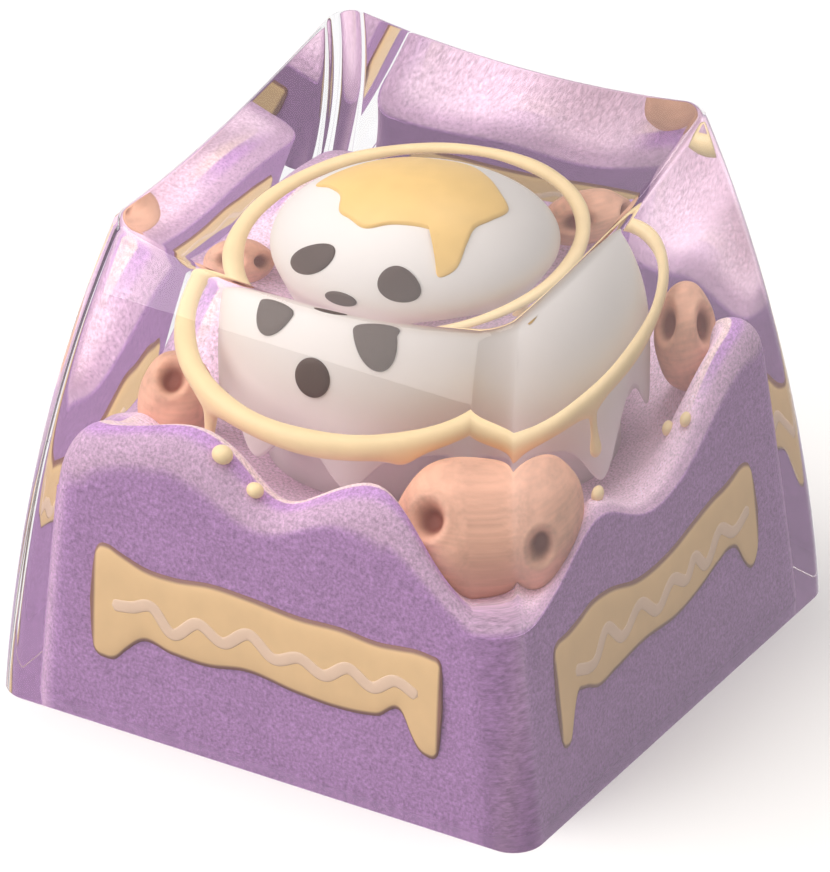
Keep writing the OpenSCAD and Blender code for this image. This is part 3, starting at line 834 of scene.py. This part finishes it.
class KEYCAP_OT_ghost(bpy.types.Operator):
    """Make the ghost: a domed head whose skirt runs down to a hem of drips, on a plain foot"""

    bl_idname = "keycap.ghost"
    bl_label = "Ghost"

    def execute(self, context):
        bearing = turns(180, 360)
        hem = hem_heights(bearing)
        rim = head_points(bearing, 0.0 * bearing)
        rows = []

        def row(share, z):
            p = HEAD_MID + share * (rim - HEAD_MID)
            p[:, 2] = z
            rows.append(p)

        for share, z in FOOT_ROWS:
            row(share, z)
        row(0.885, np.minimum(hem + 0.25, UNDER_Z))
        for a in np.radians([-90, -60, -30, 0]):
            share = 0.92 + 0.028 * math.cos(a)
            row(share, hem + HEM_LIP * (1 + math.sin(a)))
        for s in np.linspace(0.1, 0.95, 10):
            row(0.948 + 0.052 * math.sin(s * math.pi / 2), hem + HEM_LIP + s * (HEAD_MID[2] - hem - HEM_LIP))
        for rise in np.linspace(0, 88, 34):
            rows.append(head_points(bearing, rise + 0 * bearing))
        verts, faces = shell(np.array(rows))
        verts[-1] = head_points(0.0, 90.0)
        piece("ghost", verts, faces, ghost_material(context.scene.cap_colours), "ghost_body")
        return {"FINISHED"}


def on_crown(x, y, out):
    """Points over the crown at out above the head."""
    u, v = (x - HEAD_MID[0]) / HEAD_R[0], (y - HEAD_MID[1]) / HEAD_R[1]
    z = HEAD_MID[2] + (HEAD_R[2] + out) * np.sqrt(np.maximum(1 - u**2 - v**2, 0))
    return np.stack([x, y, z], axis=-1)


# Edge of the topping on the crown, seen from above: x, y
TOPPING_MID = (-0.6, 0.9)
TOPPING_EDGE = [
    (2.4, 1.4), (1.7, 2.1), (0.9, 2.75), (0.0, 3.2), (-1.0, 3.0), (-1.9, 2.8), (-2.9, 2.0), (-3.8, 0.6),
    (-3.1, 0.2), (-2.5, -0.2), (-2.1, -0.9), (-1.6, -1.15), (-0.9, -1.4), (-0.2, -1.0), (0.8, -0.75),
    (1.35, -0.9), (1.75, -1.7), (2.15, -2.1), (2.45, -1.6), (2.2, -0.7), (2.05, 0.0), (2.25, 0.6),
]
# Its thickness, how much more it has at its middle, and how far its underside lies in the head
TOPPING_T, TOPPING_SWELL, TOPPING_IN = 0.2, 0.02, 0.1


def closed_curve(points, n):
    """n points of a smooth closed curve through the points (Catmull-Rom)."""
    p = np.asarray(points, float)
    u = np.linspace(0, len(p), n, endpoint=False)
    i = u.astype(int)
    t = (u - i)[:, None]
    a, b, c, d = (p[(i + k) % len(p)] for k in (-1, 0, 1, 2))
    return 0.5 * (2 * b + (c - a) * t + (2 * a - 5 * b + 4 * c - d) * t**2 + (3 * b - a - 3 * c + d) * t**3)


class KEYCAP_OT_topping(bpy.types.Operator):
    """Pour the topping: a puddle over the crown with a rounded edge and one drip down the brow"""

    bl_idname = "keycap.topping"
    bl_label = "Topping"

    def execute(self, context):
        edge = closed_curve(TOPPING_EDGE, 220)
        middle = np.array(TOPPING_MID)
        rows = []
        for share, out in ((0.5, -TOPPING_IN), (0.97, -TOPPING_IN), (0.995, 0.0)):
            p = middle + share * (edge - middle)
            rows.append(on_crown(p[:, 0], p[:, 1], out))
        for a in np.radians([15, 35, 55, 75, 90]):
            p = middle + (0.95 + 0.05 * math.cos(a)) * (edge - middle)
            rows.append(on_crown(p[:, 0], p[:, 1], TOPPING_T * math.sin(a)))
        for share in np.linspace(0.88, 0.1, 9):
            p = middle + share * (edge - middle)
            rows.append(on_crown(p[:, 0], p[:, 1], TOPPING_T + TOPPING_SWELL * (1 - share)))
        verts, faces = shell(np.array(rows))
        verts[-2] = on_crown(middle[0], middle[1], -TOPPING_IN)
        verts[-1] = on_crown(middle[0], middle[1], TOPPING_T + TOPPING_SWELL)
        material = icing_material("topping_yellow", context.scene.cap_colours.topping)
        piece("topping", verts, faces, material, "ghost_topping")
        return {"FINISHED"}


# Face marks: bearing and rise of the middle, half width and half height in degrees, lean
MARKS = {"eye_left": (-25, 27, 8, 15, -14), "eye_right": (19, 27, 8, 15, 14), "mouth": (-3, 5, 7, 7.5, 0)}
# Rows of a mark from its underside over its rounded edge to its middle: share of its size, out from the head
MARK_OUT = 0.085
MARK_ROWS = (
    (0.5, -0.08), (0.98, -0.06), (1.0, 0.02), (0.985, 0.05), (0.95, 0.07), (0.7, 0.08), (0.35, MARK_OUT),
)


class KEYCAP_OT_face(bpy.types.Operator):
    """Lay the three plain marks of the face on the head, each an oval with a rounded edge"""

    bl_idname = "keycap.face"
    bl_label = "Face marks"

    def execute(self, context):
        p = Paint("mark_brown", 0.55, Specular_IOR_Level=0.3)
        mark = context.scene.cap_colours.mark
        p.colour(p.mix(p.noise(0.3, 3.0), shade(mark, 0.85), shade(mark, 1.15)))
        p.bump(p.noise(0.15, 2.0), 0.004)
        a = turns(48)
        for name, (bearing, rise, half_w, half_h, lean) in MARKS.items():
            turn = math.radians(lean)
            rows = []
            for share, out in MARK_ROWS:
                across, up = share * half_w * np.cos(a), share * half_h * np.sin(a)
                e = rise + up * math.cos(turn) + across * math.sin(turn)
                b = bearing + (across * math.cos(turn) - up * math.sin(turn)) / math.cos(math.radians(rise))
                rows.append(head_points(b, e, np.full(b.shape, out)))
            verts, faces = shell(np.array(rows))
            verts[-1] = head_points(bearing, rise, MARK_OUT)
            piece("mark_" + name, verts, faces, p.material, name)
        return {"FINISHED"}


# Ring

RING_MID, RING_R = np.array([-0.3, 0.36, 10.33]), 5.55
RING_TILT = (0.02, 0.17)
# Drips: bearing, length, thickness
RING_DRIPS = [(-34, 3.1, 0.46), (75, 1.9, 0.46), (36, 0.35, 0.5)]
# How far the ring sags at a drip, and how wide in degrees
SAG, SAG_WIDE = 0.22, 5.0


def ring_centre(bearing):
    """The ring's middle line: a circle in a plane that tilts up to the back."""
    b = np.radians(bearing)
    x, y = RING_MID[0] + RING_R * np.sin(b), RING_MID[1] - RING_R * np.cos(b)
    return np.stack([x, y, RING_MID[2] + RING_TILT[0] * x + RING_TILT[1] * y], axis=-1)


def ring_thickness(bearing):
    """Thickness: thicker to the front, with a slow swell."""
    b = np.radians(bearing)
    return 0.5 + 0.22 * (1 + np.cos(b)) / 2 + 0.035 * np.sin(5 * b) + 0.02 * np.sin(11 * b + 1)


def ring_shell():
    """The ring: a circle of the ring's thickness carried along its middle line, sagging at each drip."""
    bearing = turns(240, 360)
    centre = ring_centre(bearing)
    b = np.radians(bearing)
    out = np.stack([np.sin(b), -np.cos(b), np.zeros_like(b)], axis=-1)
    a = turns(18)
    r = ring_thickness(bearing)[:, None, None] / 2
    sag = sum(SAG * bell(turn_from(bearing, drip[0]), 0, SAG_WIDE) for drip in RING_DRIPS)
    up = np.array([0, 0, 1.0])
    round_way = np.cos(a)[None, :, None] * out[:, None] + np.sin(a)[None, :, None] * up
    points = centre[:, None] + r * round_way
    points[:, :, 2] -= sag[:, None] * np.clip(-np.sin(a), 0, 1)[None, :]
    m, n, _ = points.shape
    here, ahead = np.arange(m)[:, None] * n, (np.arange(m)[:, None] + 1) % m * n
    k, beside = np.arange(n)[None, :], (np.arange(n)[None, :] + 1) % n
    faces = np.stack([here + k, here + beside, ahead + beside, ahead + k], axis=-1).reshape(-1, 4).tolist()
    return points.reshape(-1, 3), faces


def drip_shell(top, length, thick):
    """A drip: a profile carried round an upright line, narrow at its neck and round at its end."""
    s = np.linspace(0, 1, 30)
    neck = 1.0 + 0.45 * bell(s, 0, 0.18) + 0.28 * bell(s, 0.88, 0.16) - 0.25 * bell(s, 0.45, 0.3)
    end = thick * 0.6 / max(length, 0.3)
    r = thick / 2 * neck * quarter_circle((1 - s) / end, 1e-3)
    a = turns(20)
    z = top[2] - s * length
    x, y = top[0] + r[:, None] * np.cos(a), top[1] + r[:, None] * np.sin(a)
    return shell(np.stack([x, y, z[:, None] + 0 * a], axis=-1)[:, ::-1])


class KEYCAP_OT_ring(bpy.types.Operator):
    """Draw the ring of icing round the figure, with its drips run into one skin"""

    bl_idname = "keycap.ring"
    bl_label = "Ring"

    def execute(self, context):
        parts = [ring_shell()]
        for bearing, length, thick in RING_DRIPS:
            top = ring_centre(np.array([float(bearing)]))[0]
            parts.append(drip_shell(top, length, thick))
        verts, faces = joined(*parts)
        material = icing_material("ring_icing", context.scene.cap_colours.ring)
        ring = piece("icing_ring", verts, faces, material, "drizzle_ring")
        one = ring.modifiers.new("one skin", "REMESH")
        one.mode = "VOXEL"
        one.voxel_size = 0.07 * MM
        one.use_smooth_shade = True
        soft = ring.modifiers.new("soft", "SMOOTH")
        soft.factor = 0.5
        soft.iterations = 6
        return {"FINISHED"}


# Lumps and drops

# Height of a pit's lip, and the depth at which its colour is full
PIT_LIP, PIT_FULL = 0.05, 0.3


def pits_and_lips(way, pits):
    """Depth of the pits and height of their lips in each direction.

    A pit is a flat-bottomed bell of the angle from its direction, and its lip a ring-shaped bell round it.
    """
    depths, lips = np.zeros(way.shape[:-1]), np.zeros(way.shape[:-1])
    for direction, depth, width in pits:
        angle = np.degrees(np.arccos(np.clip(way @ unit(np.array(direction)), -1, 1)))
        depths += depth * np.exp(-((angle / width) ** 4))
        lips += PIT_LIP * bell(angle, 1.25 * width, 0.35 * width)
    return depths, lips


def blob_shell(middle, radii, pits=(), steps=96, rows=64, seed=1.0):
    """A lump: an ellipsoid whose radius is cut by its pits, raised by their lips and rippled by sines."""
    rise = np.linspace(-90, 90, rows + 1)[1:-1]
    b, e = np.meshgrid(np.radians(turns(steps, 360)), np.radians(rise))
    way = np.stack([np.cos(e) * np.sin(b), -np.cos(e) * np.cos(b), np.sin(e)], axis=-1)
    ripple = 0.0
    if pits:
        ripple = 0.02 * np.sin(3.1 * way[..., 0] * 2 + seed) * np.sin(2.7 * way[..., 2] * 2 + 2 * seed)
    depth, lip = pits_and_lips(way, pits)
    r = 1 - depth + lip + ripple
    points = np.asarray(middle) + r[..., None] * np.asarray(radii) * way
    verts, faces = shell(points)
    value = np.concatenate([(depth / PIT_FULL).ravel(), [0.0, 0.0]])
    return verts, faces, value


# Each lump: middle, radii, and its pits as direction, depth and width in degrees
LUMPS = {
    "lump_front": (
        (5.06, -4.4, 7.8), (2.03, 2.1, 1.95),
        [((-0.24, -0.84, 0.48), 0.3, 15), ((0.83, -0.55, 0.08), 0.3, 15)],
    ),
    "lump_back": (
        (3.75, 5.2, 9.05), (1.6, 1.35, 1.65),
        [((0.03, -0.8, 0.58), 0.34, 21), ((0.91, 0.2, 0.37), 0.34, 21)],
    ),
    "lump_left": (
        (-5.74, -1.28, 7.56), (1.15, 1.3, 1.28),
        [((0.1, -0.56, 0.82), 0.34, 22), ((0.85, 0.1, 0.5), 0.32, 20)],
    ),
}
# How far up a drop's middle lies, as a share of its radius
DROP_UP = 0.35
# Drops of icing on the ground: place and radius
DROPS = {
    "drop_front_outer": (-2.0, -6.85, 0.34),
    "drop_front_inner": (-0.85, -6.87, 0.28),
    "drop_right_back": (6.45, 3.0, 0.27),
    "drop_right_middle": (5.46, 2.65, 0.27),
    "drop_right_front": (6.3, -2.0, 0.3),
}


class KEYCAP_OT_lumps(bpy.types.Operator):
    """Set the three cratered lumps on the ground"""

    bl_idname = "keycap.lumps"
    bl_label = "Lumps"

    def execute(self, context):
        material = lump_material(context.scene.cap_colours)
        for seed, (name, (middle, radii, pits)) in enumerate(LUMPS.items()):
            verts, faces, value = blob_shell(middle, radii, pits, seed=1.0 + seed)
            piece("biscuit_" + name, verts, faces, material, name, {"pit": value})
        return {"FINISHED"}


class KEYCAP_OT_drops(bpy.types.Operator):
    """Drip the five small drops of icing on the ground"""

    bl_idname = "keycap.drops"
    bl_label = "Drops"

    def execute(self, context):
        form = context.scene.cap_form
        material = icing_material("drop_icing", shade(context.scene.cap_colours.ring, 1.08))
        for name, (x, y, r) in DROPS.items():
            middle = (x, y, ground_at(form, x, y) + DROP_UP * r)
            verts, faces, _ = blob_shell(middle, (r, r, 0.8 * r), steps=36, rows=24)
            piece("icing_" + name, verts, faces, material, name)
        return {"FINISHED"}


# Stage

AIM = Vector((0, 0, 6.5 * MM))
VIEW_AZIMUTH, VIEW_RISE, VIEW_ROLL = 30.867, 29.655, 0.145
FOCAL_PX, MIDDLE_PX = 9013.166, (416.552, 446.361)
FRAME_PX = (830, 872)
SENSOR_MM = 36.0


def way_of(azimuth, rise):
    """Unit vector towards a bearing from the front, growing to the right, and a height angle, in degrees."""
    a, e = math.radians(azimuth), math.radians(rise)
    return Vector((math.sin(a) * math.cos(e), -math.cos(a) * math.cos(e), math.sin(e)))


def make_camera(away):
    """The camera that was fitted to the photograph: place, turn, focal length and shift."""
    data = bpy.data.cameras.new("camera")
    camera = bpy.data.objects.new("camera", data)
    bpy.context.scene.collection.objects.link(camera)
    back = way_of(VIEW_AZIMUTH, VIEW_RISE)
    right = (-back).cross(Vector((0, 0, 1))).normalized()
    up = right.cross(-back)
    roll = math.radians(VIEW_ROLL)
    x = math.cos(roll) * right + math.sin(roll) * up
    y = -math.sin(roll) * right + math.cos(roll) * up
    turn = Matrix((x, y, back)).transposed().to_4x4()
    camera.matrix_world = Matrix.Translation(AIM + back * away) @ turn
    data.sensor_width = SENSOR_MM
    data.lens = FOCAL_PX / max(FRAME_PX) * SENSOR_MM
    data.shift_x = -(MIDDLE_PX[0] - FRAME_PX[0] / 2) / max(FRAME_PX)
    data.shift_y = (MIDDLE_PX[1] - FRAME_PX[1] / 2) / max(FRAME_PX)
    data.clip_start = 0.005
    data.clip_end = 10.0
    bpy.context.scene.camera = camera


WARM_LIGHT = (1.0, 0.972, 0.945, 1.0)
# The way that the light from all round is brightest, and by what share it differs from the mean
BRIGHT_WAY, UNEVEN = (-0.6, -0.25, 0.76), 0.4
# The soft boxes: bearing and height angle in degrees, distance, width and height in metres
FRONT_BOX = (-48.0, 43.5, 0.5, 0.5, 0.6)
TOP_BOX = (150.0, 75.0, 0.5, 0.3, 0.3)
# The floor: half its side and its height in metres, its colour to the camera and its colour to bounced light
FLOOR_HALF, FLOOR_AT = 1.5, -0.02 * MM
FLOOR_PALE, FLOOR_DIM = (0.96, 0.96, 0.96), (0.45, 0.43, 0.42)


def soft_box(name, azimuth, rise, away, width, height, radiance):
    """A rectangular lamp that faces the cap. Its power is radiance times area times pi."""
    data = bpy.data.lights.new(name, "AREA")
    data.shape = "RECTANGLE"
    data.size, data.size_y = width, height
    data.energy = radiance * width * height * math.pi
    data.color = WARM_LIGHT[:3]
    lamp = bpy.data.objects.new(name, data)
    bpy.context.scene.collection.objects.link(lamp)
    way = way_of(azimuth, rise)
    lamp.location = AIM + way * away
    lamp.rotation_euler = way.to_track_quat("Z", "Y").to_euler()
    return lamp


def make_world(light):
    """Warm light from all round, brighter from the upper left. Camera, glass and gloss see plain white."""
    world = bpy.data.worlds.new("studio")
    bpy.context.scene.world = world
    world.use_nodes = True
    nodes, links = world.node_tree.nodes, world.node_tree.links
    back = nodes["Background"]
    path = nodes.new("ShaderNodeLightPath")
    total = path.outputs["Is Camera Ray"]
    for ray in ("Is Glossy Ray", "Is Transmission Ray"):
        either = nodes.new("ShaderNodeMath")
        either.operation = "MAXIMUM"
        links.new(total, either.inputs[0])
        links.new(path.outputs[ray], either.inputs[1])
        total = either.outputs[0]
    way = nodes.new("ShaderNodeTexCoord")
    side = nodes.new("ShaderNodeVectorMath")
    side.operation = "DOT_PRODUCT"
    links.new(way.outputs["Generated"], side.inputs[0])
    side.inputs[1].default_value = BRIGHT_WAY
    even = nodes.new("ShaderNodeMapRange")
    even.inputs["From Min"].default_value = -1.0
    even.inputs["To Min"].default_value = (1 - UNEVEN) * light
    even.inputs["To Max"].default_value = (1 + UNEVEN) * light
    links.new(side.outputs["Value"], even.inputs["Value"])
    strength = nodes.new("ShaderNodeMapRange")
    links.new(even.outputs["Result"], strength.inputs["To Min"])
    strength.inputs["To Max"].default_value = 1.0
    links.new(total, strength.inputs["Value"])
    links.new(strength.outputs["Result"], back.inputs["Strength"])
    tint = nodes.new("ShaderNodeMix")
    tint.data_type = "RGBA"
    links.new(total, tint.inputs[0])
    tint.inputs[6].default_value = WARM_LIGHT
    tint.inputs[7].default_value = (1.0, 1.0, 1.0, 1.0)
    links.new(tint.outputs[2], back.inputs["Color"])


def floor_material():
    """A pale floor that throws less light back on the cap, and that gloss and glass see as plain white."""
    p = Paint("floor_white", 0.9, Specular_IOR_Level=0.0)
    path = p.nodes.new("ShaderNodeLightPath")
    p.colour(p.mix(path.outputs["Is Diffuse Ray"], FLOOR_PALE, FLOOR_DIM))
    p.other_for(p.nodes.new("ShaderNodeEmission"), "Is Glossy Ray", "Is Transmission Ray")
    return p.material


class KEYCAP_OT_stage(bpy.types.Operator):
    """Set the camera, the soft boxes, the world's light and the pale floor"""

    bl_idname = "keycap.stage"
    bl_label = "Stage"

    def execute(self, context):
        sizes = context.scene.stage_sizes
        make_camera(sizes.camera_away)
        make_world(sizes.world_light)
        soft_box("soft_box_front", *FRONT_BOX, sizes.key_light)
        soft_box("soft_box_top", *TOP_BOX, sizes.fill_light)
        mesh = bpy.data.meshes.new("floor")
        ways = ((-1, -1), (1, -1), (1, 1), (-1, 1))
        mesh.from_pydata([(x * FLOOR_HALF, y * FLOOR_HALF, FLOOR_AT) for x, y in ways], [], [(0, 1, 2, 3)])
        floor = bpy.data.objects.new("floor", mesh)
        context.scene.collection.objects.link(floor)
        mesh.materials.append(floor_material())
        context.scene.view_settings.view_transform = "Standard"
        return {"FINISHED"}


class KEYCAP_PT_panel(bpy.types.Panel):
    """Lists the sizes, the colours and the steps that make the keycap"""

    bl_idname = "KEYCAP_PT_panel"
    bl_label = "Keycap"
    bl_space_type = "VIEW_3D"
    bl_region_type = "UI"
    bl_category = "Keycap"

    def draw(self, context):
        for group in (context.scene.cap_form, context.scene.cap_colours, context.scene.stage_sizes):
            box = self.layout.box()
            for key in group.__annotations__:
                box.prop(group, key)
        for step in STEPS:
            self.layout.operator(step.bl_idname)


STEPS = (
    KEYCAP_OT_stage,
    KEYCAP_OT_resin,
    KEYCAP_OT_base,
    KEYCAP_OT_ribbons,
    KEYCAP_OT_ghost,
    KEYCAP_OT_topping,
    KEYCAP_OT_face,
    KEYCAP_OT_ring,
    KEYCAP_OT_lumps,
    KEYCAP_OT_drops,
)
GROUPS = {"cap_form": CapForm, "cap_colours": CapColours, "stage_sizes": StageSizes}


def register():
    for kind in (*GROUPS.values(), *STEPS, KEYCAP_PT_panel):
        bpy.utils.register_class(kind)
    for key, kind in GROUPS.items():
        setattr(bpy.types.Scene, key, PointerProperty(type=kind))


def unregister():
    for key in GROUPS:
        delattr(bpy.types.Scene, key)
    for kind in reversed((*GROUPS.values(), *STEPS, KEYCAP_PT_panel)):
        bpy.utils.unregister_class(kind)


def main():
    register()
    for step in STEPS:
        family, name = step.bl_idname.split(".")
        if getattr(getattr(bpy.ops, family), name)() != {"FINISHED"}:
            raise RuntimeError("the step " + step.bl_label + " did not finish")


if __name__ == "__main__":
    main()
